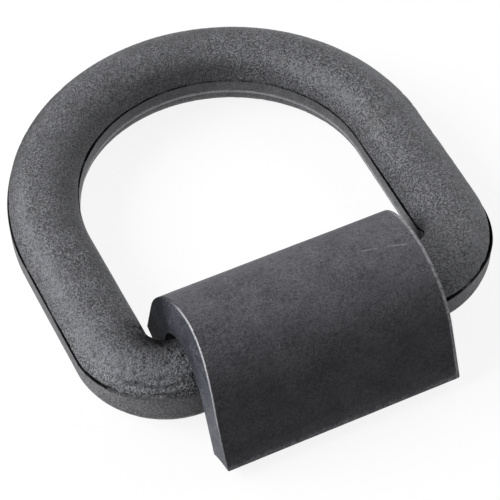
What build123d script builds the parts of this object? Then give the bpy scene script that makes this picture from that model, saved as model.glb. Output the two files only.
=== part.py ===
"""Weld-on d-ring anchor: a forged and trimmed D-shaped ring under a bent plate saddle.

The frame has +Z up from the surface that the saddle is welded to, which is the plane z = 0.
The origin is the middle of the saddle's footprint. +X runs along the ring's straight bar, and
+Y points to the side on which the ring lies flat. Sizes are in millimetres and degrees.
"""

import os
from math import cos, radians, sin, sqrt

from build123d import *

# Ring: a round bar bent to a D, lying flat with its straight bar under the saddle
bar_diameter = 20.0
corner_inner_radius = 5.6
arch_centre_distance = 51.3
leg_flare = 0.73

# Flat lands that the trimming tools leave along the ring's parting plane
inner_land_height = 4.2
outer_land_height = 6.0
inner_trim_corner_radius = 3.2

# Saddle: one strip of plate bent over the bar
plate_thickness = 9.5
saddle_length = 64.5
leg_splay = 19.0
end_draw_in = 2.0
end_draw_height = 16.0
end_edge_round = 0.8
foot_edge_round = 1.2

# Room between the ring and the saddle
bend_clearance = 1.5
crown_clearance = 3.6
rear_leg_clearance = 0.9
ring_end_play = 11.7
near_end_gap = 2.65

# Ring sizes that follow from these
bar_radius = bar_diameter / 2
ring_inside_width = saddle_length + ring_end_play
half_spacing = ring_inside_width / 2 + bar_radius
corner_centreline_radius = corner_inner_radius + bar_radius
flare_cos = cos(radians(leg_flare))
flare_sin = sin(radians(leg_flare))
arch_centreline_radius = half_spacing * flare_cos + arch_centre_distance * flare_sin

# Saddle sizes that follow from these
splay_cos = cos(radians(leg_splay))
splay_sin = sin(radians(leg_splay))
bend_inner_radius = bar_radius + bend_clearance
bend_outer_radius = bend_inner_radius + plate_thickness
bend_centre_height = bar_diameter + crown_clearance - bend_inner_radius
leg_length = (bend_centre_height + bend_inner_radius * splay_sin) / splay_cos
saddle_height = bend_centre_height + bend_outer_radius

# Place of the ring: flat on the ground, its bar near the rear leg and slid to one side
bar_drop = bend_centre_height - bar_radius
bar_offset = (bend_clearance - rear_leg_clearance + bar_drop * splay_sin) / splay_cos
ring_slide = ring_end_play / 2 - near_end_gap
ring_plane = Plane((ring_slide, bar_offset, bar_radius))


def d_outline(outset, corner_radius):
    """Draw the D that runs beside the ring's centreline, so many millimetres outside it."""
    corner_y = corner_radius - outset
    corner_x = half_spacing + (outset + corner_y * flare_sin - corner_radius) / flare_cos
    arch_radius = arch_centreline_radius + outset
    arch_start = Vector(arch_radius * flare_cos, arch_centre_distance - arch_radius * flare_sin)
    leg_foot = Vector(corner_x + corner_radius * flare_cos, corner_y - corner_radius * flare_sin)
    with BuildLine() as outline:
        straight = Line((-corner_x, -outset), (corner_x, -outset))
        JernArc(straight @ 1, straight % 1, corner_radius, 90 - leg_flare)
        leg = Line(leg_foot, arch_start)
        arch = JernArc(leg @ 1, leg % 1, arch_radius, 180 + 2 * leg_flare)
        far_leg = Line(arch @ 1, (-leg_foot.X, leg_foot.Y))
        JernArc(far_leg @ 1, far_leg % 1, corner_radius, 90 - leg_flare)
    return outline.wire()


def land_outset(land_height):
    """Distance from the bar's centreline to the flat that cuts a land of this height."""
    return sqrt(bar_radius**2 - (land_height / 2) ** 2)


# Forged ring: a round bar swept along the D, then trimmed outside and inside
centreline = ring_plane.location * d_outline(0, corner_centreline_radius)
outer_outset = land_outset(outer_land_height)
outer_trim = d_outline(outer_outset, corner_centreline_radius + outer_outset)
inner_trim = d_outline(-land_outset(inner_land_height), inner_trim_corner_radius)

with BuildPart() as d_ring:
    with BuildSketch(Plane(centreline @ 0, z_dir=centreline % 0)):
        Circle(bar_radius)
    sweep(path=centreline)
    with BuildSketch(ring_plane):
        make_face(outer_trim.edges())
    extrude(amount=bar_diameter, both=True, mode=Mode.INTERSECT)
    with BuildSketch(ring_plane):
        make_face(inner_trim.edges())
    extrude(amount=bar_diameter, both=True, mode=Mode.SUBTRACT)
d_ring.part.label = "d_ring"

# Saddle: the bent strip's section, drawn across the bar, with feet sheared square to the plate
bend_centre = (0, bend_centre_height)
bend_angle = 180 - 2 * leg_splay
half_length = saddle_length / 2
draw_in_start = (half_length, saddle_height - end_draw_height)
draw_in_end = (half_length - end_draw_in, saddle_height)

with BuildPart() as weld_saddle:
    with BuildSketch(Plane.YZ):
        with BuildLine():
            inner_bend = CenterArc(bend_centre, bend_inner_radius, leg_splay, bend_angle)
            outer_bend = CenterArc(bend_centre, bend_outer_radius, leg_splay, bend_angle)
            for side, end in ((1, 0), (-1, 1)):
                down_leg = Vector(side * splay_sin, -splay_cos) * leg_length
                inner_leg = Line(inner_bend @ end, inner_bend @ end + down_leg)
                outer_leg = Line(outer_bend @ end, outer_bend @ end + down_leg)
                Line(inner_leg @ 1, outer_leg @ 1)
        section = make_face()
        outer_corners = section.vertices().group_by(Axis.Y)[1]
        fillet(outer_corners, foot_edge_round)
    extrude(amount=half_length, both=True)

    # Both end faces curve in towards the crown, as bending leaves them on a thick plate
    with BuildSketch(Plane.XZ):
        with BuildLine():
            end_line = Line((half_length, 0), draw_in_start)
            TangentArc(draw_in_start, draw_in_end, tangent=end_line % 1)
            Line(draw_in_end, (0, saddle_height))
            Line((0, 0), end_line @ 0)
            mirror(about=Plane.YZ)
        make_face()
    extrude(amount=saddle_height, both=True, mode=Mode.INTERSECT)
    crown_edges = weld_saddle.edges().sort_by(Axis.Z)[-2:]
    fillet(crown_edges, end_edge_round)
weld_saddle.part.label = "weld_saddle"

os.makedirs("parts", exist_ok=True)
export_step(d_ring.part, "parts/d_ring.step")
export_step(weld_saddle.part, "parts/weld_saddle.step")
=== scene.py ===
"""Looks of a weld-on d-ring anchor: a forged and trimmed d-ring lying under a bent plate saddle.

Every length is in metres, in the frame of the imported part: +Z up from the surface that the saddle is
welded to, +X along the ring's straight bar, and +Y towards the side on which the ring lies flat.
"""

import logging
import math
from dataclasses import dataclass
from enum import Enum
from typing import Sequence

import bmesh
import bpy
from mathutils import Matrix, Vector, noise


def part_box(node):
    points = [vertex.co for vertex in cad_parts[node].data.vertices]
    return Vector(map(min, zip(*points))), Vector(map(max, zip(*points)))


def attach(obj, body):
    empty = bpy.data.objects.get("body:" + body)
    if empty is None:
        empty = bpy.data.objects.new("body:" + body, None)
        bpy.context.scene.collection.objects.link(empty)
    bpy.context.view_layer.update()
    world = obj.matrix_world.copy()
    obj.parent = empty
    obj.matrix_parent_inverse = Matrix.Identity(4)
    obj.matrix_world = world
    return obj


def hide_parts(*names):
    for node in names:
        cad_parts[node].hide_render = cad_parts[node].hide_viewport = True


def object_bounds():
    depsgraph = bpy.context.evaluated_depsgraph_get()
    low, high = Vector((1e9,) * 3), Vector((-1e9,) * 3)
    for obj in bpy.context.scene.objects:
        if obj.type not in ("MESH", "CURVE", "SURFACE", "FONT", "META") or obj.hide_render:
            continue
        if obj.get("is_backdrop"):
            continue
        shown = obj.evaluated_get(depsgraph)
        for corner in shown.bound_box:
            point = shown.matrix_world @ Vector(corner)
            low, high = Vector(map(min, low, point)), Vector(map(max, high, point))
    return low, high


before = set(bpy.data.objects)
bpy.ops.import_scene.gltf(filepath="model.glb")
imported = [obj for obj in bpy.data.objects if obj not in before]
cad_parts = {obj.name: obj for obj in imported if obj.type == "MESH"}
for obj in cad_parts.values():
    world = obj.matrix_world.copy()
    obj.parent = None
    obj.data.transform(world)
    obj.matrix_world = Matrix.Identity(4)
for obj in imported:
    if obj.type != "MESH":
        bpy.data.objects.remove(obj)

MM = 0.001
LOG = logging.getLogger("anchor")

Colour = tuple[float, float, float]
Socket = bpy.types.NodeSocket
Shape = bmesh.types.BMesh


class Band(Enum):
    """Stretches of the ring's section, in the order in which its rows go round."""

    OUTER_LAND = "outer land"
    OUTER_TOP_GROOVE = "groove above the outer land"
    TOP_FLANK = "top flank"
    INNER_TOP_GROOVE = "groove above the inner land"
    INNER_LAND = "inner land"
    INNER_BOTTOM_GROOVE = "groove below the inner land"
    BOTTOM_FLANK = "bottom flank"
    OUTER_BOTTOM_GROOVE = "groove below the outer land"


class Skin(Enum):
    """Which of a piece's materials a face takes; the value is its place on the mesh."""

    SCALE = 0
    CUT = 1
    # Near-black painted shade, in the grooves and on the inside of the saddle's bend.
    DIRT = 2


# Shared helpers


def smooth_step(low: float, high: float, value: float) -> float:
    """Rise smoothly from 0 at low to 1 at high.

    Args:
        low: Where the rise starts.
        high: Where the rise ends.
        value: The number to look up.

    Returns:
        A number from 0 to 1.
    """
    share = min(max((value - low) / (high - low), 0.0), 1.0)
    return share * share * (3 - 2 * share)


def patchy(point: Vector, size: float, shift: float = 0.0) -> float:
    """Read smooth noise in patches of one size.

    Args:
        point: Where to read it.
        size: About how wide a patch is.
        shift: Moves the pattern, so that two reads differ.

    Returns:
        A number from about -1 to 1.
    """
    return noise.noise(point / size + Vector((shift, 2 * shift, 3 * shift)))


@dataclass(frozen=True)
class Relief:
    """Unevenness sunk into a surface by scale, dents and pits; it never stands proud."""

    wave_depth: float
    wave_size: float
    ripple_depth: float
    ripple_size: float
    pit_depth: float
    pit_size: float
    pit_cover: float = 0.0

    def depth(self, point: Vector, roughness: float = 1.0) -> float:
        """Find how far the surface is sunk at a point.

        Args:
            point: The point on the smooth surface.
            roughness: How much more pitted this place is than the rest.

        Returns:
            The depth below the smooth surface.
        """
        wave = 0.5 + 0.5 * patchy(point, self.wave_size)
        ripple = 0.5 + 0.5 * noise.fractal(point / self.ripple_size, 0.8, 2.0, 3)
        pits = patchy(point, self.pit_size, 7.0) + self.pit_cover * roughness
        sunk = self.wave_depth * wave + self.ripple_depth * roughness * min(max(ripple, 0.0), 1.0)
        return sunk + self.pit_depth * smooth_step(0.35, 0.75, pits) * roughness


def vertex_marks(shape: Shape, *names: str) -> list[bmesh.types.BMLayerItem]:
    """Find the layers that carry numbers on a shape's vertices, and add those it lacks.

    Args:
        shape: The shape.
        names: The layers' names.

    Returns:
        The layers, in the order of their names.
    """
    layers = shape.verts.layers.float
    return [layers[name] if name in layers.keys() else layers.new(name) for name in names]


def direction(azimuth: float, elevation: float) -> Vector:
    """Point from the anchor to where a camera or lamp stands, from its angles in degrees."""
    turn, climb = math.radians(azimuth), math.radians(elevation)
    level = math.cos(climb)
    return Vector((math.sin(turn) * level, -math.cos(turn) * level, math.sin(climb)))


def finished_piece(
    name: str, mesh_data: Shape, skins: Sequence[bpy.types.Material]
) -> bpy.types.Object:
    """Turn a finished bmesh into an object with its materials.

    Args:
        name: The new object's name.
        mesh_data: The bmesh, which is freed here.
        skins: The materials, in the order of Skin.

    Returns:
        The new object, at the origin, unturned and unscaled.
    """
    mesh = bpy.data.meshes.new(name)
    mesh_data.to_mesh(mesh)
    mesh_data.free()
    for skin in skins:
        mesh.materials.append(skin)
    piece = bpy.data.objects.new(name, mesh)
    bpy.context.scene.collection.objects.link(piece)
    mesh.calc_loop_triangles()
    LOG.info("%s: %d triangles", name, len(mesh.loop_triangles))
    return piece


# Node helpers and the shared node groups


class Graph:
    """A node tree that is filled one node at a time."""

    def __init__(self, tree: bpy.types.NodeTree) -> None:
        """Start on an emptied tree."""
        self.tree = tree
        self.tree.nodes.clear()

    def node(self, kind: str, inputs: dict | None = None, **settings) -> bpy.types.Node:
        """Add a node, with its settings and its inputs.

        Args:
            kind: The node's type name.
            inputs: For each input's name or number, a plain value or a socket to link.
            settings: Properties of the node.

        Returns:
            The new node.
        """
        made = self.tree.nodes.new(kind)
        for key, value in settings.items():
            setattr(made, key, value)
        for key, value in (inputs or {}).items():
            if isinstance(value, bpy.types.NodeSocket):
                self.tree.links.new(value, made.inputs[key])
            else:
                made.inputs[key].default_value = value
        return made

    def math(self, operation: str, *values: float | Socket, clamp: bool = False) -> Socket:
        """Work out one number from others, and return its socket."""
        inputs = dict(enumerate(values))
        return self.node("ShaderNodeMath", inputs, operation=operation, use_clamp=clamp).outputs[0]

    def vector(self, operation: str, *values: Sequence[float] | Socket) -> bpy.types.Node:
        """Work out one vector from others, and return the node."""
        return self.node("ShaderNodeVectorMath", dict(enumerate(values)), operation=operation)

    def mix(self, share: float | Socket, first: Colour | Socket, second: Colour | Socket) -> Socket:
        """Blend from one colour to another.

        Args:
            share: How much of the second colour shows.
            first: The colour at 0.
            second: The colour at 1.

        Returns:
            The blended colour's socket.
        """
        inputs = {0: share}
        for place, colour in ((6, first), (7, second)):
            inputs[place] = colour if isinstance(colour, bpy.types.NodeSocket) else (*colour, 1.0)
        return self.node("ShaderNodeMix", inputs, data_type="RGBA").outputs[2]

    def ramp(
        self, value: Socket, low: float, high: float, start: float = 0.0, end: float = 1.0
    ) -> Socket:
        """Carry a number smoothly from one range to another.

        Args:
            value: The number's socket.
            low: Where the rise starts.
            high: Where the rise ends.
            start: The result at low.
            end: The result at high.

        Returns:
            The result's socket.
        """
        inputs = {"Value": value, "From Min": low, "From Max": high, "To Min": start, "To Max": end}
        return self.node("ShaderNodeMapRange", inputs, interpolation_type="SMOOTHSTEP").outputs[0]

    def noise(
        self, position: Socket, size: float | Socket, detail: float = 2.0, rough: float = 0.5
    ) -> Socket:
        """Read noise at a position.

        Args:
            position: The position's socket, in millimetres.
            size: About how wide a patch is, in millimetres.
            detail: How many finer layers are added.
            rough: How strong the finer layers are.

        Returns:
            The noise, from 0 to 1 and mostly near the middle.
        """
        scale = self.math("DIVIDE", 1.0, size)
        inputs = {"Vector": position, "Scale": scale, "Detail": detail, "Roughness": rough}
        return self.node("ShaderNodeTexNoise", inputs).outputs["Fac"]

    def cells(self, position: Socket, size: Socket, **settings) -> bpy.types.bpy_prop_collection:
        """Scatter cells of about one size, and return the node's outputs."""
        inputs = {"Vector": position, "Scale": self.math("DIVIDE", 1.0, size), "Randomness": 1.0}
        return self.node("ShaderNodeTexVoronoi", inputs, **settings).outputs

    def attribute(self, name: str) -> Socket:
        """Read a number that the piece's vertices carry."""
        return self.node("ShaderNodeAttribute", attribute_name=name).outputs["Fac"]

    def group(self, tree: bpy.types.NodeTree, **inputs) -> bpy.types.bpy_prop_collection:
        """Place a shared group and return its outputs."""
        return self.node("ShaderNodeGroup", inputs, node_tree=tree).outputs


class SharedEffects:
    """The effects that several of the materials use, each built once as a node group."""

    def __init__(self) -> None:
        """Build every group."""
        self.grain = self._grain()
        self.wear_and_highlight = self._wear()
        self.stain = self._stain()
        self.scratch = self._scratch()

    @staticmethod
    def _start(
        name: str, inputs: dict[str, float | Sequence[float]], outputs: Sequence[str]
    ) -> tuple[Graph, dict[str, Socket]]:
        """Open a new group with named inputs and outputs.

        Args:
            name: The group's name.
            inputs: Each input's name and starting value; a sequence makes a vector input.
            outputs: The names of the number outputs.

        Returns:
            The graph, and the sockets of the inputs by name.
        """
        tree = bpy.data.node_groups.new(name, "ShaderNodeTree")
        for title, value in inputs.items():
            kind = "NodeSocketFloat" if isinstance(value, float) else "NodeSocketVector"
            socket = tree.interface.new_socket(name=title, in_out="INPUT", socket_type=kind)
            socket.default_value = value
        for title in outputs:
            tree.interface.new_socket(name=title, in_out="OUTPUT", socket_type="NodeSocketFloat")
        graph = Graph(tree)
        given = graph.node("NodeGroupInput").outputs
        return graph, {title: given[title] for title in inputs}

    def _grain(self) -> bpy.types.NodeTree:
        """Build the grain of scale: speckle, blotches, pits, light flecks and the height they make."""
        sizes = {"Position": (0.0, 0.0, 0.0), "Speckle Size": 0.4, "Blotch Size": 9.0, "Pit Size": 1.3}
        titles = ("Speckle", "Blotch", "Pits", "Flecks", "Height")
        graph, given = self._start("scale_grain", sizes, titles)
        position, pit_size = given["Position"], given["Pit Size"]
        fine = graph.noise(position, given["Speckle Size"], rough=0.6)
        patches = graph.noise(position, graph.math("MULTIPLY", pit_size, 3.2), detail=3.0, rough=0.6)
        strength = graph.ramp(patches, 0.38, 0.62, start=0.75, end=1.5)
        centred = graph.math("SUBTRACT", graph.ramp(fine, 0.41, 0.59), 0.5)
        speckle = graph.math("MULTIPLY_ADD", centred, strength, 0.5, clamp=True)
        blotch = graph.noise(position, given["Blotch Size"], detail=3.0, rough=0.55)
        blotch = graph.ramp(blotch, 0.36, 0.64)
        hollows = graph.cells(position, pit_size, feature="SMOOTH_F1")
        pits = graph.ramp(hollows["Distance"], 0.12, 0.42, start=1.0, end=0.0)
        coarse = graph.noise(position, pit_size, detail=4.0, rough=0.6)
        flecks = self._flecks(graph, given, fine, patches)
        raised = graph.math("MULTIPLY_ADD", fine, 0.26, graph.math("MULTIPLY", coarse, 0.16))
        raised = graph.math("MULTIPLY_ADD", flecks, 0.05, raised)
        height = graph.math("MULTIPLY_ADD", pits, -0.05, raised)
        results = (speckle, blotch, pits, flecks, height)
        graph.node("NodeGroupOutput", dict(zip(titles, results)))
        return graph.tree

    @staticmethod
    def _flecks(graph: Graph, given: dict[str, Socket], fine: Socket, patches: Socket) -> Socket:
        """Scatter light curls and specks of scale.

        Args:
            graph: The grain group's graph.
            given: The grain group's inputs.
            fine: The noise that the speckle is made of.
            patches: The wider noise that says where flecks gather.

        Returns:
            How light the surface is with flecks, from 0 to 1.
        """
        position = given["Position"]
        wander = graph.noise(position, graph.math("MULTIPLY", given["Pit Size"], 0.9))
        middle = graph.math("ABSOLUTE", graph.math("SUBTRACT", wander, 0.5))
        vein = graph.ramp(middle, 0.0, 0.035, start=1.0, end=0.0)
        curls = graph.math("MULTIPLY", vein, graph.ramp(fine, 0.4, 0.56))
        curls = graph.math("MULTIPLY", curls, graph.ramp(patches, 0.48, 0.6))
        grains = graph.cells(position, graph.math("MULTIPLY", given["Speckle Size"], 2.0))
        chance = graph.node("ShaderNodeSeparateColor", {0: grains["Color"]}).outputs[0]
        picked = graph.math("GREATER_THAN", chance, 0.72)
        specks = graph.ramp(grains["Distance"], 0.12, 0.36, start=0.8, end=0.0)
        specks = graph.math("MULTIPLY", specks, picked)
        specks = graph.math("MULTIPLY", specks, graph.ramp(patches, 0.4, 0.6, start=0.35))
        return graph.math("MAXIMUM", curls, specks)

    def _wear(self) -> bpy.types.NodeTree:
        """Build the brightening of an edge in patches: rubbed wear, and painted highlight where the edge
        is given one.
        """
        values = {"Position": (0.0, 0.0, 0.0), "Edge": 0.0, "Patch Size": 3.0, "Cover": 0.5}
        graph, given = self._start("edge_wear_and_highlight", values, ("Mask",))
        patches = graph.noise(given["Position"], given["Patch Size"], detail=4.0, rough=0.65)
        threshold = graph.math("SUBTRACT", 1.0, given["Cover"])
        reach = graph.math("MULTIPLY", given["Edge"], graph.math("ADD", patches, 0.5))
        mask = graph.math("MULTIPLY", graph.math("SUBTRACT", reach, threshold), 3.0, clamp=True)
        graph.node("NodeGroupOutput", {"Mask": mask})
        return graph.tree

    def _stain(self) -> bpy.types.NodeTree:
        """Build the faint stains that lie in wide patches with ragged rims."""
        values = {"Position": (0.0, 0.0, 0.0), "Patch Size": 14.0, "Cover": 0.4}
        graph, given = self._start("rust_stain", values, ("Mask",))
        patches = graph.noise(given["Position"], given["Patch Size"], detail=5.0, rough=0.6)
        rise = graph.math("MULTIPLY_ADD", given["Cover"], 0.5, graph.math("SUBTRACT", patches, 0.78))
        graph.node("NodeGroupOutput", {"Mask": graph.math("MULTIPLY", rise, 6.0, clamp=True)})
        return graph.tree

    def _scratch(self) -> bpy.types.NodeTree:
        """Build one scratch: the surface near a straight line through the metal."""
        nowhere = (0.0, 0.0, 0.0)
        values = {"Position": nowhere, "Start": nowhere, "End": (1.0, 0.0, 0.0), "Width": 0.3}
        graph, given = self._start("scratch", values, ("Mask",))
        along = graph.vector("SUBTRACT", given["End"], given["Start"]).outputs[0]
        reach = graph.vector("SUBTRACT", given["Position"], given["Start"]).outputs[0]
        passed = graph.vector("DOT_PRODUCT", reach, along).outputs["Value"]
        whole = graph.vector("DOT_PRODUCT", along, along).outputs["Value"]
        inputs = {0: along, "Scale": graph.math("DIVIDE", passed, whole, clamp=True)}
        nearest = graph.node("ShaderNodeVectorMath", inputs, operation="SCALE").outputs[0]
        offset = graph.vector("SUBTRACT", reach, nearest).outputs[0]
        distance = graph.vector("LENGTH", offset).outputs["Value"]
        broken = graph.ramp(graph.noise(given["Position"], 0.9), 0.3, 0.7, 0.3, 1.3)
        far = graph.math("DIVIDE", distance, graph.math("MULTIPLY", given["Width"], broken))
        graph.node("NodeGroupOutput", {"Mask": graph.ramp(far, 0.4, 1.0, start=1.0, end=0.0)})
        return graph.tree


@dataclass(frozen=True)
class Mark:
    """One scratch, from one point to another in the part's frame, in millimetres."""

    start: tuple[float, float, float]
    end: tuple[float, float, float]
    width: float


@dataclass(frozen=True)
class SteelFinish:
    """One finish of bare or scaled steel; its grain sizes are in millimetres."""

    name: str
    dark: Colour
    light: Colour
    bare: Colour
    stain: Colour
    speckle_size: float
    blotch_size: float = 4.0
    pit_size: float = 1.0
    bump: float = 0.7
    roughness: float = 0.55
    gloss: float = 0.5
    speckle_share: float = 0.5
    blotch_share: float = 0.3
    shade: float = 0.5
    fleck_share: float = 0.3
    stain_cover: float = 0.3
    wear_cover: float = 0.5
    wear_size: float = 3.0
    # The tone attribute paints lighter and darker patches: partly the scale's own tone, partly painted
    # highlight and shade.
    takes_tone_and_painted_light: bool = False
    tone_and_painted_light_share: float = 0.6
    stain_share: float = 0.5
    # How strongly the painted glints show.
    glint_share: float = 0.6
    scratch_share: float = 0.35
    bare_metal: float = 0.4
    # The near-black colour and extra roughness of painted shade.
    painted_shade_colour: Colour = (0.001, 0.001, 0.001)
    painted_shade_matt: float = 0.45
    marks: Sequence[Mark] = ()

    def material(self, effects: SharedEffects) -> bpy.types.Material:
        """Build the material from the shared effects.

        Args:
            effects: The shared node groups.

        Returns:
            The finished material.
        """
        made = bpy.data.materials.new(self.name)
        made.use_nodes = True
        graph = Graph(made.node_tree)
        place = graph.node("ShaderNodeTexCoord").outputs["Object"]
        position = graph.node("ShaderNodeMapping", {"Vector": place, "Scale": (1 / MM,) * 3}).outputs[0]
        sizes = {"Speckle Size": self.speckle_size, "Blotch Size": self.blotch_size}
        sizes["Pit Size"] = self.pit_size
        grain = graph.group(effects.grain, Position=position, **sizes)
        rough = graph.attribute("rough")
        # The groove attribute holds painted shade: dark grooves and creases, painted shadows beside the
        # saddle and the saddle's darkened end faces.
        groove = graph.attribute("groove")
        # Rubbed and scratched bright, with painted highlight on some edges.
        worn_and_highlit = self._worn_and_highlit(graph, effects, position)
        shown = graph.math("MULTIPLY_ADD", rough, 0.9 * self.fleck_share, 0.5 * self.fleck_share)
        flecks = graph.math("MULTIPLY", grain["Flecks"], shown, clamp=True)
        # Painted glints: bare-coloured specks where the scale is crusted.
        crusted = graph.ramp(rough, 0.78, 1.0)
        glints = graph.math("MULTIPLY", graph.ramp(grain["Speckle"], 0.5, 1.0), crusted)
        stain = graph.group(effects.stain, Position=position, Cover=self.stain_cover)["Mask"]

        skin = graph.mix(self._shade(graph, grain, rough), self.dark, self.light)
        skin = graph.mix(graph.math("MULTIPLY", stain, self.stain_share), skin, self.stain)
        pitted = graph.math("MULTIPLY", grain["Pits"], graph.math("MULTIPLY_ADD", rough, 0.5, 0.35))
        skin = graph.mix(pitted, skin, tuple(0.6 * part for part in self.dark))
        skin = graph.mix(flecks, skin, self.bare)
        skin = graph.mix(graph.math("MULTIPLY", glints, self.glint_share), skin, self.bare)
        skin = graph.mix(worn_and_highlit, skin, self.bare)
        # Painted shade: the colour goes near-black where the groove attribute is set.
        skin = graph.mix(groove, skin, self.painted_shade_colour)

        matt = graph.math("MULTIPLY_ADD", grain["Speckle"], 0.12, self.roughness - 0.06)
        # Painted shade also raises the roughness here and, below, the metallic to full, so that it
        # reflects nothing.
        matt = graph.math("MULTIPLY_ADD", groove, self.painted_shade_matt, matt, clamp=True)
        shiny = graph.math("MULTIPLY", graph.math("MAXIMUM", worn_and_highlit, flecks), self.bare_metal)
        relief = {"Height": grain["Height"], "Strength": self.bump, "Distance": MM}
        surface = {
            "Base Color": skin,
            "Roughness": graph.math("MULTIPLY_ADD", worn_and_highlit, -0.15, matt),
            "Metallic": graph.math("MAXIMUM", shiny, groove),
            "Normal": graph.node("ShaderNodeBump", relief).outputs[0],
            "Specular IOR Level": self.gloss,
        }
        shader = graph.node("ShaderNodeBsdfPrincipled", surface)
        graph.node("ShaderNodeOutputMaterial", {"Surface": shader.outputs[0]})
        return made

    def _shade(self, graph: Graph, grain: bpy.types.bpy_prop_collection, rough: Socket) -> Socket:
        """Work out how light the scale is, with the tone attribute's lighter and darker patches, partly
        its own tone and partly painted highlight and shade.

        Args:
            graph: The material's graph.
            grain: The grain group's outputs.
            rough: How crusted the place is, which sharpens the speckle.

        Returns:
            The shade, from the dark colour at 0 to the light one at 1.
        """
        contrast = graph.math("MULTIPLY_ADD", rough, 0.5 * self.speckle_share, self.speckle_share)
        speckle = graph.math("MULTIPLY", graph.math("SUBTRACT", grain["Speckle"], 0.5), contrast)
        base = self.shade - 0.5 * self.blotch_share
        shade = graph.math("MULTIPLY_ADD", grain["Blotch"], self.blotch_share, base)
        shade = graph.math("ADD", shade, speckle)
        if not self.takes_tone_and_painted_light:
            return shade
        # Partly the scale's own tone, partly painted highlight and shade.
        tone_and_painted_light = graph.math("SUBTRACT", graph.attribute("tone_and_painted_light"), 0.5)
        return graph.math("MULTIPLY_ADD", tone_and_painted_light, self.tone_and_painted_light_share, shade, clamp=True)

    def _worn_and_highlit(self, graph: Graph, effects: SharedEffects, position: Socket) -> Socket:
        """Find where the steel is rubbed or scratched bright, and where an edge is painted with highlight.

        Args:
            graph: The material's graph.
            effects: The shared node groups.
            position: The place on the piece, in millimetres.

        Returns:
            How bright it is, from 0 to 1.
        """
        values = {"Edge": graph.attribute("edge"), "Patch Size": self.wear_size}
        worn_and_highlit = graph.group(effects.wear_and_highlight, Position=position, Cover=self.wear_cover, **values)["Mask"]
        for mark in self.marks:
            ends = {"Start": mark.start, "End": mark.end, "Width": mark.width}
            scratch = graph.group(effects.scratch, Position=position, **ends)["Mask"]
            scratch = graph.math("MULTIPLY", scratch, self.scratch_share)
            worn_and_highlit = graph.math("MAXIMUM", worn_and_highlit, scratch)
        return worn_and_highlit


# The ring


@dataclass(frozen=True)
class Stretch:
    """A straight or bent stretch of the ring's centreline."""

    length: float
    turn: float
    steps: int


@dataclass(frozen=True)
class Row:
    """One row of the ring's section: the band it lies in and its share of the way through that band."""

    band: Band
    share: float

    @property
    def groove(self) -> float:
        """How much of the groove's full depth this row has."""
        if self.band is Band.OUTER_LAND:
            return smooth_step(0.86, 0.98, self.share)
        if self.band is Band.OUTER_TOP_GROOVE:
            return math.cos(math.pi / 2 * self.share)
        if self.band is Band.INNER_TOP_GROOVE:
            return math.sin(math.pi / 2 * self.share)
        return 0.0

    @property
    def groove_shade(self) -> float:
        """How dark the painted shade in the groove leaves this row, from 0 to 1."""
        if self.band is Band.OUTER_LAND:
            return smooth_step(0.84, 0.89, self.share)
        return math.sqrt(self.groove)

    @property
    def on_land(self) -> bool:
        """Whether the row lies on one of the trimmed lands."""
        return self.band in (Band.OUTER_LAND, Band.INNER_LAND)

    @property
    def edge(self) -> float:
        """How much the row is rubbed bright and lit by a painted highlight, from 0 to 1: most at the foot
        of the inner land.
        """
        return smooth_step(0.6, 0.85, self.share) if self.band is Band.INNER_LAND else 0.0


@dataclass(frozen=True)
class Swell:
    """A local rise of some value along the ring's centreline."""

    at: float
    spread: float
    amount: float

    def value(self, along: float) -> float:
        """Give the rise at a distance along the centreline."""
        share = min(abs(along - self.at) / self.spread, 1.0)
        return self.amount * 0.5 * (1 + math.cos(math.pi * share))


@dataclass(frozen=True)
class Tone:
    """A local rise centred at one place along the ring and at one angle round its bar."""

    along: Swell
    angle: float
    reach: float

    def value(self, along: float, angle: float) -> float:
        """Give the tone at a distance along the centreline and an angle above the parting plane."""
        share = min(abs(angle - self.angle) / self.reach, 1.0)
        return self.along.value(along) * 0.5 * (1 + math.cos(math.pi * share))


def list_swells(*rows: tuple[float, float, float]) -> tuple[Swell, ...]:
    """Make swells from rows that give the place and spread in millimetres, and the amount."""
    return tuple(Swell(at * MM, spread * MM, amount) for at, spread, amount in rows)


def list_tones(*rows: tuple[float, float, float, float, float]) -> tuple[Tone, ...]:
    """Make tones from rows like a swell's, each with its angle and its reach in degrees."""
    return tuple(
        Tone(Swell(at * MM, spread * MM, amount), math.radians(angle), math.radians(reach))
        for at, spread, amount, angle, reach in rows
    )


def total(parts: Sequence[Swell | Tone], *place: float) -> float:
    """Add up what several swells or tones give at one place."""
    return sum(part.value(*place) for part in parts)


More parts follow.
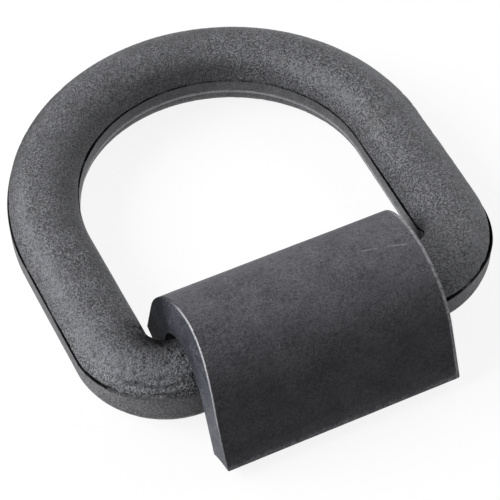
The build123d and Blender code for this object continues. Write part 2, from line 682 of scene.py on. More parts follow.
@dataclass
class ForgedRing:
    """The d-ring: a round forged bar with flat lands where its flash was trimmed off.

    The trimming wandered, so swells along the bar lower the outer land's edges (top_cut and low_cut),
    tuck its foot in, sink ledges above it, and deepen or widen the grooves beside the lands (gaps), which
    are painted dark as shade.
    Tones paint shadow on hidden places beside and under the saddle (the painted shadows), make the scale
    lighter or darker, partly as its own tone and partly as painted highlight and shade (the tones), and
    crust it (crusts).
    """

    node: str = "d_ring"
    body: str = "ring"
    slot: str = "forged_steel"
    leg_flare: float = math.radians(0.73)
    corner_inner_radius: float = 5.6 * MM
    outer_land_height: float = 6.0 * MM
    inner_land_height: float = 4.2 * MM
    inner_trim_corner_radius: float = 3.2 * MM
    groove_width: float = 0.7 * MM
    groove_depth: float = 0.25 * MM
    groove_unevenness: float = 0.5
    deepest_groove: float = 1.6
    # Grooves darker than this take the near-black painted-shade material.
    painted_shade_from: float = 0.62
    fold_depth: float = 0.24 * MM
    fold_size: float = 2.3 * MM
    # How dark the folds' creases are painted, as painted shade.
    fold_shade: float = 0.62
    streak_depth: float = 0.07 * MM
    streak_size: float = 0.7 * MM
    streak_stretch: float = 24.0
    step: float = 0.6 * MM
    corner_steps: int = 64
    arch_steps: int = 300
    relief: Relief = Relief(
        wave_depth=0.10 * MM,
        wave_size=13 * MM,
        ripple_depth=0.07 * MM,
        ripple_size=2.4 * MM,
        pit_depth=0.16 * MM,
        pit_size=1.9 * MM,
        pit_cover=0.12,
    )
    land_relief: Relief = Relief(
        wave_depth=0.05 * MM,
        wave_size=9 * MM,
        ripple_depth=0.02 * MM,
        ripple_size=1.5 * MM,
        pit_depth=0.05 * MM,
        pit_size=1.0 * MM,
    )
    top_cut: Sequence[Swell] = list_swells((41, 9, 0.28 * MM), (289, 6, 0.16 * MM), (300, 13, 0.6 * MM))
    low_cut: Sequence[Swell] = list_swells((43, 10, 0.3 * MM))
    tuck: Sequence[Swell] = list_swells((42.5, 11, 0.6 * MM))
    ledges: Sequence[Swell] = list_swells((53, 13, 1.0 * MM), (90, 20, 0.5 * MM))
    gaps: Sequence[Swell] = list_swells(
        (52, 11, 0.6), (36, 13, -0.2), (188, 28, -0.7), (276, 10, 0.3), (222, 30, 0.5), (302, 20, -0.75)
    )
    wide_gaps: Sequence[Swell] = list_swells((53, 12, 3.6), (90, 18, 2.4), (222, 34, 1.7))
    inner_gaps: Sequence[Swell] = list_swells((72, 26, 0.5), (145, 42, -0.55), (215, 34, 0.5))
    wide_inner_gaps: Sequence[Swell] = list_swells((212, 34, 0.8), (66, 30, 0.6))
    folds: Sequence[Swell] = list_swells((298, 15, 1.0))
    pitting: Sequence[Swell] = list_swells((296, 34, 1.2), (38, 30, 0.5))
    # Painted shadows: darkening painted where shade falls, on the bar beside and under the saddle, in the
    # punched corner and along a few flanks.
    painted_shadows: Sequence[Tone] = list_tones(
        (324, 20, 0.9, 100, 110),
        (297, 20, 0.95, 130, 50),
        (14, 24, 0.9, 100, 110),
        (51, 15, 0.8, 172, 42),
        (75, 40, 0.16, 156, 26),
        (200, 44, 0.4, 28, 34),
    )
    # Lighter and darker patches, partly the scale's own tone and partly painted highlight and shade.
    tones_and_painted_light: Sequence[Tone] = list_tones(
        (270, 42, 1.1, 54, 32),
        (244, 32, 1.2, 57, 24),
        (292, 22, 1.6, 45, 50),
        (250, 40, -0.5, 130, 30),
        (195, 42, -2.0, 38, 34),
        (158, 40, -0.6, 68, 24),
        (158, 36, -1.5, 148, 32),
        (112, 55, 1.6, 126, 26),
        (95, 62, 0.9, 58, 24),
        (44, 22, 1.6, 45, 55),
        (95, 50, -1.1, 172, 26),
        (208, 38, 1.4, 180, 24),
        (268, 22, -1.2, 6, 22),
        (298, 14, 1.2, 0, 24),
    )
    crusts: Sequence[Tone] = list_tones(
        (258, 36, 0.8, 125, 50), (240, 60, 0.45, 75, 40), (100, 64, 0.78, 115, 60), (46, 26, 0.9, 70, 60)
    )

    def __post_init__(self) -> None:
        """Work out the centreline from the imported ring's box."""
        low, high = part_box(self.node)
        self.bar_radius = (high.z - low.z) / 2
        self.outer_outset = self._outset(self.outer_land_height)
        self.inner_outset = self._outset(self.inner_land_height)
        self.start = Vector(((low.x + high.x) / 2, low.y + self.outer_outset, (low.z + high.z) / 2))
        arch_radius = (high.x - low.x) / 2 - self.outer_outset
        arch_distance = (high.y - low.y) - 2 * self.outer_outset - arch_radius
        sine, cosine = math.sin(self.leg_flare), math.cos(self.leg_flare)
        half_spacing = (arch_radius - arch_distance * sine) / cosine
        self.corner_radius = self.corner_inner_radius + self.bar_radius
        self.corner_turn = math.pi / 2 - self.leg_flare
        half_bar = half_spacing - self.corner_radius * (1 - sine) / cosine
        leg_rise = arch_distance - arch_radius * sine - self.corner_radius * (1 - sine)
        bar = Stretch(half_bar, 0.0, round(half_bar / self.step))
        corner = Stretch(self.corner_radius * self.corner_turn, self.corner_turn, self.corner_steps)
        leg = Stretch(leg_rise / cosine, 0.0, round(leg_rise / self.step))
        arch_turn = math.pi + 2 * self.leg_flare
        arch = Stretch(arch_radius * arch_turn, arch_turn, self.arch_steps)
        self.stretches = (bar, corner, leg, arch, leg, corner, bar)
        self.rows = self._section_rows()

    def _outset(self, land_height: float) -> float:
        """Give the distance from the centreline to the flat that cuts a land of this height."""
        return math.sqrt(self.bar_radius**2 - (land_height / 2) ** 2)

    @staticmethod
    def _section_rows() -> list[Row]:
        """List the section's rows, in order round the bar from the outer land's lower edge."""
        even = {Band.INNER_LAND: 8, Band.TOP_FLANK: 52, Band.BOTTOM_FLANK: 40}
        shares = {band: [place / count for place in range(count + 1)] for band, count in even.items()}
        shares[Band.OUTER_LAND] = [0.0, 0.12, 0.25, 0.38, 0.5, 0.6, 0.7, 0.78, 0.83, 0.86, 0.89, 0.94, 1.0]
        grooves = [0.1, 0.24, 0.4, 0.56, 0.72, 0.88]
        return [Row(band, share) for band in Band for share in shares.get(band, grooves)]

    def spot(self, along: float) -> tuple[Vector, Vector]:
        """Find a place on the centreline.

        Args:
            along: The distance from the middle of the straight bar.

        Returns:
            The point, and the direction that points out of the D there.
        """
        point, heading = self.start.copy(), 0.0
        for stretch in self.stretches:
            part = min(along, stretch.length)
            half = 0.5 * stretch.turn * part / stretch.length
            chord = part * math.sin(half) / half if half else part
            point += chord * Vector((math.cos(heading + half), math.sin(heading + half), 0.0))
            heading += 2 * half
            along -= part
            if along <= 0:
                break
        return point, Vector((math.sin(heading), -math.cos(heading), 0.0))

    def inner_reach(self, along: float) -> float:
        """Find how far inside the centreline the inner land's flat lies.

        Args:
            along: The distance from the middle of the straight bar.

        Returns:
            The distance, which shrinks in the two corners because the punch is rounded tighter there.
        """
        bar, corner, leg, arch = self.stretches[:4]
        far_corner = bar.length + corner.length + 2 * leg.length + arch.length
        for corner_start in (bar.length, far_corner):
            turned = (along - corner_start) / self.corner_radius
            if 0 < turned < self.corner_turn:
                return self.corner_radius - self._punch_distance(turned)
        return self.inner_outset

    def _punch_distance(self, turned: float) -> float:
        """Give the punch's distance from the corner's centre, at an angle turned into the corner."""
        flat = self.corner_radius - self.inner_outset
        half_turn = self.corner_turn / 2
        setback = (flat - self.inner_trim_corner_radius) / math.cos(half_turn)
        flat_ends = math.atan2(setback * math.sin(half_turn), flat)
        if min(turned, self.corner_turn - turned) < flat_ends:
            return flat / math.cos(min(turned, self.corner_turn - turned))
        off = turned - half_turn
        across = setback * math.sin(off)
        return setback * math.cos(off) + math.sqrt(self.inner_trim_corner_radius**2 - across**2)

    def section_point(self, row: Row, along: float) -> tuple[float, float, float, float]:
        """Shape the trimmed section at one place.

        Args:
            row: The row of the section.
            along: The distance from the middle of the straight bar.

        Returns:
            The row's distance outwards and upwards from the centreline, and its normal in that plane.
        """
        radius = self.bar_radius
        top = math.acos((self.outer_outset - total(self.top_cut, along)) / radius)
        low = -math.acos((self.outer_outset - total(self.low_cut, along)) / radius)
        inner = self.inner_reach(along)
        inner_edge = math.pi - math.acos(inner / radius)
        lip = self.groove_width * (1.0 + total(self.wide_gaps, along)) / radius
        inner_lip = self.groove_width * (1.0 + total(self.wide_inner_gaps, along)) / radius
        runs = {
            Band.OUTER_TOP_GROOVE: (top, top + lip),
            Band.TOP_FLANK: (top + lip, inner_edge - inner_lip),
            Band.INNER_TOP_GROOVE: (inner_edge - inner_lip, inner_edge),
            Band.INNER_BOTTOM_GROOVE: (-inner_edge, -inner_edge + inner_lip),
            Band.BOTTOM_FLANK: (-inner_edge + inner_lip, low - inner_lip),
            Band.OUTER_BOTTOM_GROOVE: (low - inner_lip, low),
        }
        sunk = self.groove_depth * row.groove * self.gap_strength(row, along)
        if row.band is Band.OUTER_TOP_GROOVE:
            sunk += total(self.ledges, along) * row.groove
        if row.band is Band.OUTER_LAND:
            rest = 1.0 - row.share
            tucked = total(self.tuck, along) * smooth_step(1.0, 0.3, row.share)
            out = radius * (math.cos(low) * rest + math.cos(top) * row.share) - sunk - tucked
            return out, radius * (math.sin(low) * rest + math.sin(top) * row.share), 1.0, 0.0
        if row.band is Band.INNER_LAND:
            return -inner, radius * math.sin(inner_edge) * (1 - 2 * row.share), -1.0, 0.0
        first, last = runs[row.band]
        angle = first + (last - first) * row.share
        reach = radius - sunk - self._fold(row, angle, along)
        tucked = total(self.tuck, along) * smooth_step(0.0, 1.0, math.cos(angle)) * (angle < 0)
        cosine, sine = math.cos(angle), math.sin(angle)
        return reach * cosine - tucked, reach * sine, cosine, sine

    def _fold(self, row: Row, angle: float, along: float) -> float:
        """Give the depth of the lengthwise folds that forging left above the outer land's front left.

        Args:
            row: The row of the section.
            angle: Its angle above the parting plane.
            along: The distance from the middle of the straight bar.

        Returns:
            The depth below the round bar.
        """
        strength = total(self.folds, along)
        if row.band is not Band.TOP_FLANK or not strength:
            return 0.0
        climb = angle * self.bar_radius
        wander = 0.6 * patchy(Vector((along, 2 * climb, 0.0)), 5 * MM)
        wander += 0.25 * patchy(Vector((along, climb, 0.0)), 2 * MM)
        wave = 0.5 + 0.5 * math.sin(2 * math.pi * (climb / self.fold_size + wander))
        fade = smooth_step(12.5 * MM, 7 * MM, climb)
        return self.fold_depth * strength * fade * wave ** 2

    def gap_strength(self, row: Row, along: float) -> float:
        """Give the depth of the dark groove beside a land, as a share of its full depth."""
        above_outer = row.band in (Band.OUTER_LAND, Band.OUTER_TOP_GROOVE)
        place = Vector((along, 0.0, 0.0))
        ragged = 0.9 + 0.25 * patchy(place, 1.1 * MM, 5.0)
        ragged += self.groove_unevenness * patchy(place, 6 * MM, 1.0 if above_outer else 2.0)
        ragged += total(self.gaps if above_outer else self.inner_gaps, along)
        return min(max(ragged, 0.1), self.deepest_groove)

    def build(self, skins: Sequence[bpy.types.Material]) -> bpy.types.Object:
        """Sweep the bar along the D, trim and roughen it, and dress it.

        Args:
            skins: The forged scale, the trimmed land's finish and the near-black painted shade.

        Returns:
            The finished ring.
        """
        shape = bmesh.new()
        row_mark = shape.verts.layers.int.new("row")
        vertex_marks(shape, "along")
        upright = Matrix.Translation(self.start) @ Matrix.Rotation(math.pi / 2, 4, "Y")
        bmesh.ops.create_circle(shape, segments=len(self.rows), radius=self.bar_radius, matrix=upright)
        for number, vert in enumerate(shape.verts):
            vert[row_mark] = number
        self._sweep(shape)
        bmesh.ops.remove_doubles(shape, verts=shape.verts, dist=self.step / 1000)
        self._trim_and_roughen(shape)
        bmesh.ops.recalc_face_normals(shape, faces=shape.faces)
        self._mark_faces(shape)
        piece = finished_piece("forged_ring", shape, skins)
        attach(piece, self.body)
        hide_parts(self.node)
        return piece

    def _sweep(self, shape: Shape) -> None:
        """Carry the round section along every stretch, back to where it started.

        Args:
            shape: The bmesh, which holds the first section.
        """
        (along_mark,) = vertex_marks(shape, "along")
        loop = list(shape.verts) + list(shape.edges)
        passed, heading = 0.0, 0.0
        for stretch in self.stretches:
            point, outward = self.spot(passed)
            centre = point - outward * (stretch.length / stretch.turn if stretch.turn else 0.0)
            stride = stretch.length / stretch.steps
            move = stride * Vector((math.cos(heading), math.sin(heading), 0.0))
            angle = stretch.turn / stretch.steps
            for _ in range(stretch.steps):
                if stretch.turn:
                    made = bmesh.ops.spin(
                        shape, geom=loop, cent=centre, axis=(0, 0, 1), angle=angle, steps=1
                    )
                    loop = made["geom_last"]
                else:
                    edges = [part for part in loop if isinstance(part, bmesh.types.BMEdge)]
                    made = bmesh.ops.extrude_edge_only(shape, edges=edges)
                    loop = [part for part in made["geom"] if not isinstance(part, bmesh.types.BMFace)]
                    verts = [part for part in loop if isinstance(part, bmesh.types.BMVert)]
                    bmesh.ops.translate(shape, verts=verts, vec=move)
                passed += stride
                for part in loop:
                    if isinstance(part, bmesh.types.BMVert):
                        part[along_mark] = passed
            heading += stretch.turn

    def _trim_and_roughen(self, shape: Shape) -> None:
        """Move every vertex of the plain swept bar onto the trimmed, grooved and pitted surface.

        Args:
            shape: The closed ring.
        """
        row_mark = shape.verts.layers.int["row"]
        names = ("along", "edge", "groove", "rough", "tone_and_painted_light")
        along_mark, wear_and_highlight_mark, painted_shade_mark, rough_mark, tone_and_painted_light_mark = vertex_marks(shape, *names)
        for vert in shape.verts:
            row, along = self.rows[vert[row_mark]], vert[along_mark]
            out, up, normal_out, normal_up = self.section_point(row, along)
            point, outward = self.spot(along)
            place = point + outward * out + Vector((0.0, 0.0, up))
            normal = outward * normal_out + Vector((0.0, 0.0, normal_up))
            if row.on_land:
                stretched = Vector((along / self.streak_stretch, up, out))
                streak = 0.5 + 0.5 * patchy(stretched, self.streak_size)
                sunk = self.land_relief.depth(place) + self.streak_depth * streak
            else:
                rough = 1.0 + total(self.pitting, along) * (up > 0)
                sunk = self.relief.depth(place, rough)
            vert.co = place - normal * sunk
            # Painted highlight with the wear at the inner land's foot.
            vert[wear_and_highlight_mark] = row.edge
            angle = (math.atan2(up, out) + math.pi / 2) % (2 * math.pi) - math.pi / 2
            # Painted shade: the painted shadows, the grooves' darkness and the folds' creases go into the
            # groove attribute.
            painted_shadow = total(self.painted_shadows, along, angle)
            folded = self._fold(row, angle, along) / self.fold_depth
            groove_shade = row.groove_shade * min(self.gap_strength(row, along), 1.0)
            vert[painted_shade_mark] = min(max(groove_shade, painted_shadow, self.fold_shade * folded), 1.0)
            # Tone: partly the scale's own, partly painted highlight and shade.
            vert[tone_and_painted_light_mark] = 0.5 + 0.5 * total(self.tones_and_painted_light, along, angle)
            crusted = total(self.crusts, along, angle)
            pitted = min(total(self.pitting, along), 1.0) * smooth_step(1.0, 0.7, up / self.bar_radius)
            vert[rough_mark] = min(max(crusted, pitted), 1.0)

    def _mark_faces(self, shape: Shape) -> None:
        """Give the lands and the painted shade in the grooves their materials, and keep the long edges
        sharp.

        Args:
            shape: The shaped ring.
        """
        row_mark = shape.verts.layers.int["row"]
        (along_mark,) = vertex_marks(shape, "along")
        for face in shape.faces:
            face.smooth = True
            rows = [self.rows[vert[row_mark]] for vert in face.verts]
            bands = {row.band for row in rows}
            on_land = len(bands) == 1 and bands <= {Band.OUTER_LAND, Band.INNER_LAND}
            along = min(vert[along_mark] for vert in face.verts)
            groove_shade = sum(row.groove_shade * self.gap_strength(row, along) for row in rows) / len(rows)
            skin = Skin.CUT if on_land else Skin.SCALE
            face.material_index = (Skin.DIRT if groove_shade > self.painted_shade_from else skin).value
        for edge in shape.edges:
            first, second = (self.rows[vert[row_mark]] for vert in edge.verts)
            edge.smooth = not (first == second and first.on_land and first.share in (0.0, 1.0))


# The saddle


@dataclass
class WeldSaddle:
    """The saddle: one strip of plate bent over the bar, with sheared ends and feet."""

    node: str = "weld_saddle"
    body: str = "saddle"
    slot: str = "formed_plate"
    plate_thickness: float = 9.5 * MM
    leg_splay: float = math.radians(19.0)
    bend_inner_radius: float = 11.5 * MM
    left_draw_in: float = 2.2 * MM
    right_draw_in: float = 0.2 * MM
    end_draw_height: float = 16.0 * MM
    foot_round: float = 1.2 * MM
    corner_round: float = 1.4 * MM
    edge_round: float = 0.35 * MM
    worn_strip: float = 1.25 * MM
    # The left end's bright edge is a painted highlight; the right strip and the scuffs above the feet are
    # partly worn and partly painted highlight.
    left_edge_highlight: float = 0.42
    left_edge_highlight_rise: float = 0.46
    right_wear_and_highlight: float = 0.64
    foot_wear_and_highlight: float = 0.55
    inner_wear: float = 0.4
    # Painted highlight on the crown, stronger towards the right end, and painted shade low on the front
    # leg; the front foot is scuffed lighter.
    crown_painted_light: float = 0.16
    right_painted_light: float = 0.14
    low_painted_shade: float = -0.16
    foot_tone: float = 0.5
    step: float = 0.5 * MM
    relief: Relief = Relief(
        wave_depth=0.05 * MM,
        wave_size=16 * MM,
        ripple_depth=0.03 * MM,
        ripple_size=3.0 * MM,
        pit_depth=0.04 * MM,
        pit_size=1.6 * MM,
    )

    def __post_init__(self) -> None:
        """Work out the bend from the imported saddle's box."""
        low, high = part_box(self.node)
        self.height = high.z
        self.half_length = (high.x - low.x) / 2
        self.bend_height = self.height - self.bend_inner_radius - self.plate_thickness
        self.bend_turn = math.pi - 2 * self.leg_splay
        fall = self.bend_height + self.bend_inner_radius * math.sin(self.leg_splay)
        self.leg_length = fall / math.cos(self.leg_splay)
        bend_outer_radius = self.bend_inner_radius + self.plate_thickness
        self.bend_steps = round(self.bend_turn * bend_outer_radius / self.step)
        self.mid_radius = self.bend_inner_radius + self.plate_thickness / 2
        self.travel = 2 * self.leg_length + self.bend_turn * self.mid_radius

    def leg_stations(self) -> list[float]:
        """List how far from a foot the leg's sections lie, closer together at the foot."""
        near_foot = [share * self.foot_round for share in (0.1, 0.25, 0.45, 0.7, 1.0)]
        rest = self.leg_length - self.foot_round
        count = round(rest / self.step)
        return near_foot + [self.foot_round + rest * (place + 1) / count for place in range(count)]

    def end_reach(self, height: float, across: float) -> float:
        """Give how far an end face stands from the middle at a height, less towards the drawn-in crown.

        Args:
            height: The height above the feet.
            across: A place on the side of the end asked for.

        Returns:
            The distance from the middle.
        """
        draw_in = self.right_draw_in if across > 0 else self.left_draw_in
        radius = (self.end_draw_height**2 + draw_in**2) / (2 * draw_in)
        climb = max(height - (self.height - self.end_draw_height), 0.0)
        return self.half_length - radius + math.sqrt(radius**2 - climb**2)

    def build(self, skins: Sequence[bpy.types.Material]) -> bpy.types.Object:
        """Bend the plate from foot to foot, soften its edges and dress it.

        Args:
            skins: The plate's scale, its cut edges' finish and the near-black painted shade.

        Returns:
            The finished saddle.
        """
        shape = bmesh.new()
        across_mark, depth_mark, _ = vertex_marks(shape, "across", "depth", "along")
        self._draw_outline(shape)
        for vert in shape.verts:
            vert[across_mark] = vert.co.x
            vert[depth_mark] = vert.co.y + self.plate_thickness / 2
        self._stand_on_front_foot(shape)
        self._bend_plate(shape)
        self._soften(shape)
        bmesh.ops.recalc_face_normals(shape, faces=shape.faces)
        self._mark_faces(shape)
        piece = finished_piece("bent_saddle", shape, skins)
        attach(piece, self.body)
        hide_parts(self.node)
        return piece

    def _draw_outline(self, shape: Shape) -> None:
        """Draw the strip's cross section as one flat face with rounded corners.

        Args:
            shape: The empty bmesh.
        """
        bmesh.ops.create_grid(shape, x_segments=1, y_segments=1, size=0.5)
        size = (2 * self.half_length, self.plate_thickness, 1.0)
        bmesh.ops.scale(shape, verts=shape.verts, vec=size)
        bmesh.ops.bevel(
            shape,
            geom=list(shape.verts),
            affect="VERTICES",
            offset=self.edge_round,
            offset_type="OFFSET",
            segments=4,
            profile=0.5,
            material=-1,
        )
        sides = sorted(shape.edges, key=lambda edge: edge.calc_length())
        for edges in (sides[-2:], sides[-4:-2]):
            cuts = round(edges[0].calc_length() / self.step) - 1
            bmesh.ops.subdivide_edges(shape, edges=edges, cuts=cuts)

    def _stand_on_front_foot(self, shape: Shape) -> None:
        """Turn the flat section into the front foot's face.

        Args:
            shape: The bmesh with the flat section.
        """
        sine, cosine = math.sin(self.leg_splay), math.cos(self.leg_splay)
        outward, up_leg = Vector((0.0, -cosine, sine)), Vector((0.0, sine, cosine))
        bend_start = outward * self.mid_radius + Vector((0.0, 0.0, self.bend_height))
        turn = Matrix((Vector((1.0, 0.0, 0.0)), outward, up_leg)).transposed().to_4x4()
        place = Matrix.Translation(bend_start - up_leg * self.leg_length) @ turn
        bmesh.ops.transform(shape, matrix=place, verts=shape.verts)

    def _bend_plate(self, shape: Shape) -> None:
        """Carry the section up the front leg, over the bend and down the rear leg.

        Args:
            shape: The bmesh with the front foot's face.
        """
        sine, cosine = math.sin(self.leg_splay), math.cos(self.leg_splay)
        centre = (0.0, 0.0, self.bend_height)
        angle = self.bend_turn / self.bend_steps
        stations = [0.0] + self.leg_stations()
        rises = [later - earlier for earlier, later in zip(stations, stations[1:])]
        section = [*shape.verts, *shape.edges, *shape.faces]
        passed = 0.0
        for rise in rises:
            passed += rise
            section = self._extrude(shape, section, Vector((0.0, sine, cosine)) * rise)
            self._note(shape, section, passed)
        for _ in range(self.bend_steps):
            passed += angle * self.mid_radius
            made = bmesh.ops.spin(
                shape, geom=section, cent=centre, axis=(-1, 0, 0), angle=angle, steps=1
            )
            section = made["geom_last"]
            self._note(shape, section, passed)
        for rise in reversed(rises):
            passed += rise
            section = self._extrude(shape, section, Vector((0.0, sine, -cosine)) * rise)
            self._note(shape, section, passed)

    @staticmethod
    def _extrude(shape: Shape, section: list, move: Vector) -> list:
        """Extrude the section by one straight step and return it at its new place."""
        made = bmesh.ops.extrude_face_region(shape, geom=section)["geom"]
        verts = [part for part in made if isinstance(part, bmesh.types.BMVert)]
        bmesh.ops.translate(shape, verts=verts, vec=move)
        return made

    @staticmethod
    def _note(shape: Shape, section: list, passed: float) -> None:
        """Write the distance from the front foot onto the section's vertices."""
        (along_mark,) = vertex_marks(shape, "along")
        for part in section:
            if isinstance(part, bmesh.types.BMVert):
                part[along_mark] = passed

    def _bent_place(self, across: float, depth: float, along: float) -> tuple[Vector, Vector]:
        """Find where a point of the flat strip lies once the strip is bent.

        Args:
            across: The distance from the middle of the saddle's length.
            depth: The distance from the inner face through the plate.
            along: The distance from the front foot along the plate's middle.

        Returns:
            The point, and the direction that points out of the bend there.
        """
        bend_length = self.bend_turn * self.mid_radius
        past_leg = min(max(along - self.leg_length, 0.0), bend_length)
        angle = math.pi - self.leg_splay - past_leg / self.mid_radius
        outward = Vector((0.0, math.cos(angle), math.sin(angle)))
        forward = Vector((0.0, math.sin(angle), -math.cos(angle)))
        beyond = min(along - self.leg_length, 0.0) + max(along - self.leg_length - bend_length, 0.0)
        centre = Vector((0.0, 0.0, self.bend_height))
        place = centre + outward * (self.bend_inner_radius + depth) + forward * beyond
        place.x = across * self.end_reach(place.z, across) / self.half_length
        return place, outward

    def _soften(self, shape: Shape) -> None:
        """Round the feet, draw the ends in, roughen the faces, and note where the edges are worn and
        painted with highlight, and where painted shade and painted light go.

        Args:
            shape: The bent plate.
        """
        across_mark, depth_mark, along_mark = vertex_marks(shape, "across", "depth", "along")
        wear_and_highlight_mark, shade_mark, tone_and_painted_light_mark = vertex_marks(shape, "edge", "groove", "tone_and_painted_light")
        for vert in shape.verts:
            across, depth, along = vert[across_mark], vert[depth_mark], vert[along_mark]
            from_foot = min(along, self.travel - along)
            outer = depth / self.plate_thickness
            outer_inset = self._inset(self.foot_round, from_foot)
            small_inset = self._inset(self.edge_round, from_foot)
            reach = self.half_length - self._inset(self.corner_round, from_foot) * outer
            core_reach = self.half_length - self.edge_round
            core_across = min(max(across, -core_reach), core_reach)
            core_depth = min(max(depth, self.edge_round), self.plate_thickness - self.edge_round)
            at_end, at_face = core_across != across, core_depth != depth
            # Painted light: highlight with the wear on the edges, painted shade on the end faces, and
            # painted highlight and shade in the tone.
            vert[wear_and_highlight_mark] = self._wear_and_highlight(across, outer, along) if at_face else 0.0
            vert[shade_mark] = self._painted_end_shade(outer, along) if at_end else 0.0
            vert[tone_and_painted_light_mark] = 0.5 + self._tone_and_painted_light(across, along)
            place, outward = self._bent_place(
                min(max(across, -reach), reach),
                min(max(depth, small_inset), self.plate_thickness - outer_inset),
                along,
            )
            normal = Vector((across - core_across, 0.0, 0.0)) + outward * (depth - core_depth)
            vert.co = place - normal.normalized() * self.relief.depth(place, 0.6 if at_end else 1.0)

    @staticmethod
    def _inset(radius: float, distance: float) -> float:
        """Give how far a rounded corner lies inside the sharp one, at a distance from it."""
        rest = max(radius - distance, 0.0)
        return radius - math.sqrt(radius**2 - rest**2)

    def _tone_and_painted_light(self, across: float, along: float) -> float:
        """Give how much lighter the scale is painted at a place, from -0.5 to 0.5: painted highlight on
        the crown, painted shade low on the front leg, and scuffs above the front foot.
        """
        climb = along / self.travel
        crown = smooth_step(0.28, 0.42, climb) * smooth_step(0.7, 0.5, climb)
        low = smooth_step(0.03, 0.08, climb) * smooth_step(0.3, 0.2, climb)
        foot = smooth_step(6 * MM, 2 * MM, along)
        crown_painted_light = self.crown_painted_light + self.right_painted_light * across / self.half_length
        return crown_painted_light * crown + self.foot_tone * foot + self.low_painted_shade * low

    def _painted_end_shade(self, outer: float, along: float) -> float:
        """Give how dark an end face is painted as shade, from 0 to 1: near the crown's inside and low on
        the rear leg.
        """
        climb = along / self.travel
        inside = 0.5 * smooth_step(0.26, 0.42, climb) * (1.0 - 0.8 * outer)
        return max(inside, 0.75 * smooth_step(0.55, 0.7, climb))

    def _wear_and_highlight(self, across: float, outer: float, along: float) -> float:
        """Give how much a place on the outer or inner face is rubbed bright and painted with highlight,
        from 0 to 1.

        Args:
            across: The distance from the middle of the saddle's length.
            outer: 0 on the inner face and 1 on the outer face.
            along: The distance from the front foot along the plate's middle.

        Returns:
            The brightening: a painted highlight along the left edge, and a dull strip on the right and
                scuffs above the feet, each partly worn and partly painted highlight.
        """
        from_end = self.half_length - abs(across)
        climb = along / self.travel
        if outer < 0.5:
            return self.inner_wear * smooth_step(0.6 * MM, 0.0, from_end)
        if across < 0:
            strongest = smooth_step(0.62, 0.5, climb) * (0.25 + 0.75 * smooth_step(0.1, 0.3, climb))
            end = self.left_edge_highlight + self.left_edge_highlight_rise * strongest
            end *= smooth_step(0.55 * MM, 0.1 * MM, from_end)
        else:
            end = self.right_wear_and_highlight * smooth_step(self.worn_strip, 0.7 * self.worn_strip, from_end)
        from_foot = min(along, self.travel - along)
        scuffed = smooth_step(5 * MM, 1.0 * MM, from_foot) * smooth_step(0.2 * MM, 0.9 * MM, from_foot)
        return max(end, self.foot_wear_and_highlight * scuffed)

    def _mark_faces(self, shape: Shape) -> None:
        """Give the sheared ends and feet their own material, and the inside of the bend the near-black
        painted shade.

        Args:
            shape: The shaped saddle.
        """
        across_mark, depth_mark, along_mark = vertex_marks(shape, "across", "depth", "along")
        flat_reach = self.half_length - self.edge_round / 4
        for face in shape.faces:
            at_end = all(abs(vert[across_mark]) > flat_reach for vert in face.verts)
            passed = [vert[along_mark] for vert in face.verts]
            at_foot = all(min(along, self.travel - along) < self.foot_round / 20 for along in passed)
            inside = all(vert[depth_mark] < self.edge_round / 2 for vert in face.verts)
            skin = Skin.CUT if at_end or at_foot else Skin.SCALE
            # The inner face takes the near-black painted shade.
            face.material_index = (Skin.DIRT if inside and not at_foot else skin).value
            face.smooth = not at_foot


# The camera and the studio


@dataclass(frozen=True)
class PhotoCamera:
    """The camera, which looks down on the anchor from the front left."""

    azimuth: float = -22.92
    elevation: float = 50.18
    roll: float = -2.835
    target: tuple[float, float, float] = (0.48 * MM, 31.51 * MM, 10.0 * MM)
    distance: float = 564.2 * MM
    lens: float = 155.5
    sensor: float = 36.0

    def build(self) -> bpy.types.Object:
        """Create the camera and make it the scene's own.

        Returns:
            The camera.
        """
        lens = bpy.data.cameras.new("photo_camera")
        lens.lens, lens.sensor_width = self.lens, self.sensor
        lens.clip_start, lens.clip_end = 0.01, 20.0
        camera = bpy.data.objects.new("photo_camera", lens)
        bpy.context.scene.collection.objects.link(camera)
        back = direction(self.azimuth, self.elevation)
        right = direction(self.azimuth + 90, 0.0)
        turn = Matrix((right, back.cross(right), back)).transposed().to_4x4()
        place = Matrix.Translation(Vector(self.target) + back * self.distance)
        camera.matrix_world = place @ turn @ Matrix.Rotation(math.radians(self.roll), 4, "Z")
        bpy.context.scene.camera = camera
        return camera


@dataclass(frozen=True)
class Lamp:
    """A soft square lamp that faces the anchor; at level 1 a white sheet facing it is lit to white."""

    name: str
    azimuth: float
    elevation: float
    size: float
    level: float
    distance: float = 1.2

    def build(self, aim: Vector) -> None:
        """Create the lamp, turned towards a point.

        Args:
            aim: The point that it faces.
        """
        light = bpy.data.lights.new(self.name, "AREA")
        light.shape, light.size = "SQUARE", self.size
        light.energy = self.level * (math.pi * self.distance) ** 2
        back = direction(self.azimuth, self.elevation)
        lamp = bpy.data.objects.new(self.name, light)
        facing = back.to_track_quat("Z", "Y").to_matrix().to_4x4()
        lamp.matrix_world = Matrix.Translation(aim + back * self.distance) @ facing
        bpy.context.scene.collection.objects.link(lamp)


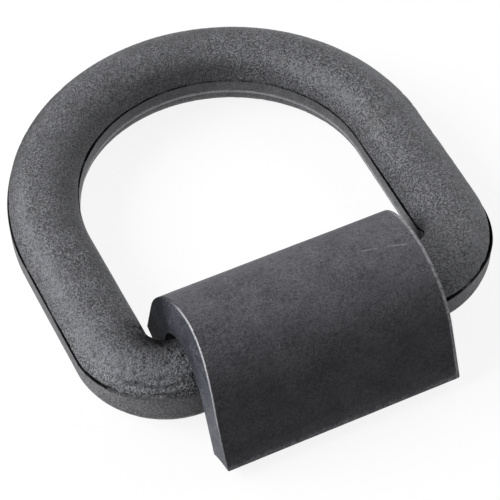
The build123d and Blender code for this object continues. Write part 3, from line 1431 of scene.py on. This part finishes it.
@dataclass(frozen=True)
class Studio:
    """A pale floor, soft lamps and a white surround."""

    floor_size: float = 6.0
    floor_colour: Colour = (0.16, 0.16, 0.16)
    floor_glow: float = 0.88
    floor_bounce: float = 0.18
    ambient: float = 0.02
    lamps: Sequence[Lamp] = (
        Lamp("left_lamp", azimuth=-105.0, elevation=34.0, size=0.8, level=1.0),
        Lamp("back_left_lamp", azimuth=-147.0, elevation=37.0, size=0.8, level=0.27),
        Lamp("back_right_lamp", azimuth=130.0, elevation=35.0, size=0.8, level=0.16),
        Lamp("right_lamp", azimuth=90.0, elevation=38.0, size=0.8, level=0.2),
    )

    def build(self) -> None:
        """Create the floor, the surround and every lamp."""
        scene = bpy.context.scene
        scene.view_settings.view_transform = "Standard"
        self._build_surround(scene)
        self._build_floor()
        low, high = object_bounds()
        for lamp in self.lamps:
            lamp.build((low + high) / 2)

    @staticmethod
    def _seen_directly(graph: Graph) -> Socket:
        """Tell rays that should see the white background from those that only light the object."""
        path = graph.node("ShaderNodeLightPath").outputs
        glass_or_gloss = graph.math("MAXIMUM", path["Is Glossy Ray"], path["Is Transmission Ray"])
        return graph.math("MAXIMUM", path["Is Camera Ray"], glass_or_gloss)

    def _build_surround(self, scene: bpy.types.Scene) -> None:
        """Make the world white where it is seen, and a dim even light elsewhere."""
        world = bpy.data.worlds.new("surround")
        world.use_nodes = True
        graph = Graph(world.node_tree)
        dim = graph.math("MULTIPLY_ADD", self._seen_directly(graph), 1.0 - self.ambient, self.ambient)
        sky = graph.node("ShaderNodeBackground", {"Color": (1.0, 1.0, 1.0, 1.0), "Strength": dim})
        graph.node("ShaderNodeOutputWorld", {"Surface": sky.outputs[0]})
        scene.world = world

    def _build_floor(self) -> None:
        """Lay the floor and give it a pale finish that still takes the anchor's shadow."""
        shape = bmesh.new()
        bmesh.ops.create_grid(shape, x_segments=1, y_segments=1, size=self.floor_size / 2)
        paint = bpy.data.materials.new("pale_floor")
        paint.use_nodes = True
        graph = Graph(paint.node_tree)
        matt = graph.node("ShaderNodeBsdfDiffuse", {"Color": (*self.floor_colour, 1.0)}).outputs[0]
        rise = self.floor_glow - self.floor_bounce
        strength = graph.math("MULTIPLY_ADD", self._seen_directly(graph), rise, self.floor_bounce)
        glow = graph.node("ShaderNodeEmission", {"Strength": strength}).outputs[0]
        both = graph.node("ShaderNodeAddShader", {0: matt, 1: glow}).outputs[0]
        graph.node("ShaderNodeOutputMaterial", {"Surface": both})
        floor = finished_piece("floor", shape, [paint])
        floor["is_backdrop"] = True


# Finishes of this anchor

FORGED_SCALE = SteelFinish(
    name="forged_scale",
    dark=(0.003, 0.003, 0.005),
    light=(0.222, 0.227, 0.249),
    bare=(0.36, 0.365, 0.38),
    stain=(0.085, 0.062, 0.05),
    speckle_size=0.42,
    blotch_size=9.0,
    pit_size=1.1,
    bump=1.6,
    roughness=0.54,
    speckle_share=0.82,
    blotch_share=0.13,
    shade=0.4,
    fleck_share=0.9,
    stain_cover=0.35,
    wear_cover=0.4,
    takes_tone_and_painted_light=True,
    marks=(Mark((-49.9, 8.8, 17.6), (-49.1, 6.8, 17.6), 0.4),),
)
TRIMMED_LAND = SteelFinish(
    name="trimmed_land",
    dark=(0.035, 0.0355, 0.04),
    light=(0.19, 0.192, 0.205),
    bare=(0.3, 0.3, 0.31),
    stain=(0.10, 0.09, 0.085),
    speckle_size=0.45,
    pit_size=0.8,
    speckle_share=0.6,
    fleck_share=0.5,
    stain_cover=0.1,
    wear_cover=0.36,
    wear_size=1.5,
    takes_tone_and_painted_light=True,
)
PLATE_SCALE = SteelFinish(
    name="plate_scale",
    dark=(0.04, 0.0395, 0.047),
    light=(0.152, 0.150, 0.165),
    bare=(0.4, 0.4, 0.42),
    stain=(0.12, 0.105, 0.10),
    speckle_size=0.46,
    blotch_size=9.0,
    pit_size=1.5,
    bump=0.5,
    gloss=0.13,
    blotch_share=0.22,
    fleck_share=0.35,
    stain_cover=0.2,
    wear_cover=0.55,
    wear_size=0.9,
    takes_tone_and_painted_light=True,
    marks=(
        Mark((-15.4, 10.8, 29.9), (-15.1, 5.6, 32.2), 0.4),
        Mark((17.4, 1.2, 33.0), (21.3, 0.3, 33.0), 0.3),
        Mark((24.2, -0.4, 33.0), (28.5, -1.8, 33.0), 0.3),
    ),
)
SHEARED_PLATE = SteelFinish(
    name="sheared_plate",
    dark=(0.028, 0.03, 0.04),
    light=(0.104, 0.109, 0.134),
    bare=(0.42, 0.42, 0.45),
    stain=(0.09, 0.085, 0.085),
    speckle_size=0.5,
    gloss=0.25,
    blotch_share=0.4,
    fleck_share=1.0,
    stain_cover=0.1,
    wear_cover=0.6,
)
# Near-black painted shade for the ring's grooves and the inside of the saddle's bend.
GROOVE_SHADE = SteelFinish(
    name="groove_painted_shade",
    dark=(0.008, 0.008, 0.009),
    light=(0.03, 0.03, 0.032),
    bare=(0.05, 0.05, 0.05),
    stain=(0.02, 0.015, 0.01),
    speckle_size=0.4,
    bump=0.3,
    roughness=0.9,
    gloss=0.1,
    fleck_share=0.1,
)


def main() -> None:
    """Build the anchor's pieces, its studio and its camera, and report each piece."""
    logging.basicConfig(level=logging.INFO, format="%(name)s %(message)s")
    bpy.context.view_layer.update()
    effects = SharedEffects()
    # The near-black painted shade that both pieces share.
    near_black_shade = GROOVE_SHADE.material(effects)
    ring = ForgedRing().build([FORGED_SCALE.material(effects), TRIMMED_LAND.material(effects), near_black_shade])
    saddle = WeldSaddle().build([PLATE_SCALE.material(effects), SHEARED_PLATE.material(effects), near_black_shade])
    LOG.info("pieces: %s", ", ".join(piece.name for piece in (ring, saddle)))
    Studio().build()
    PhotoCamera().build()


if __name__ == "__main__":
    main()
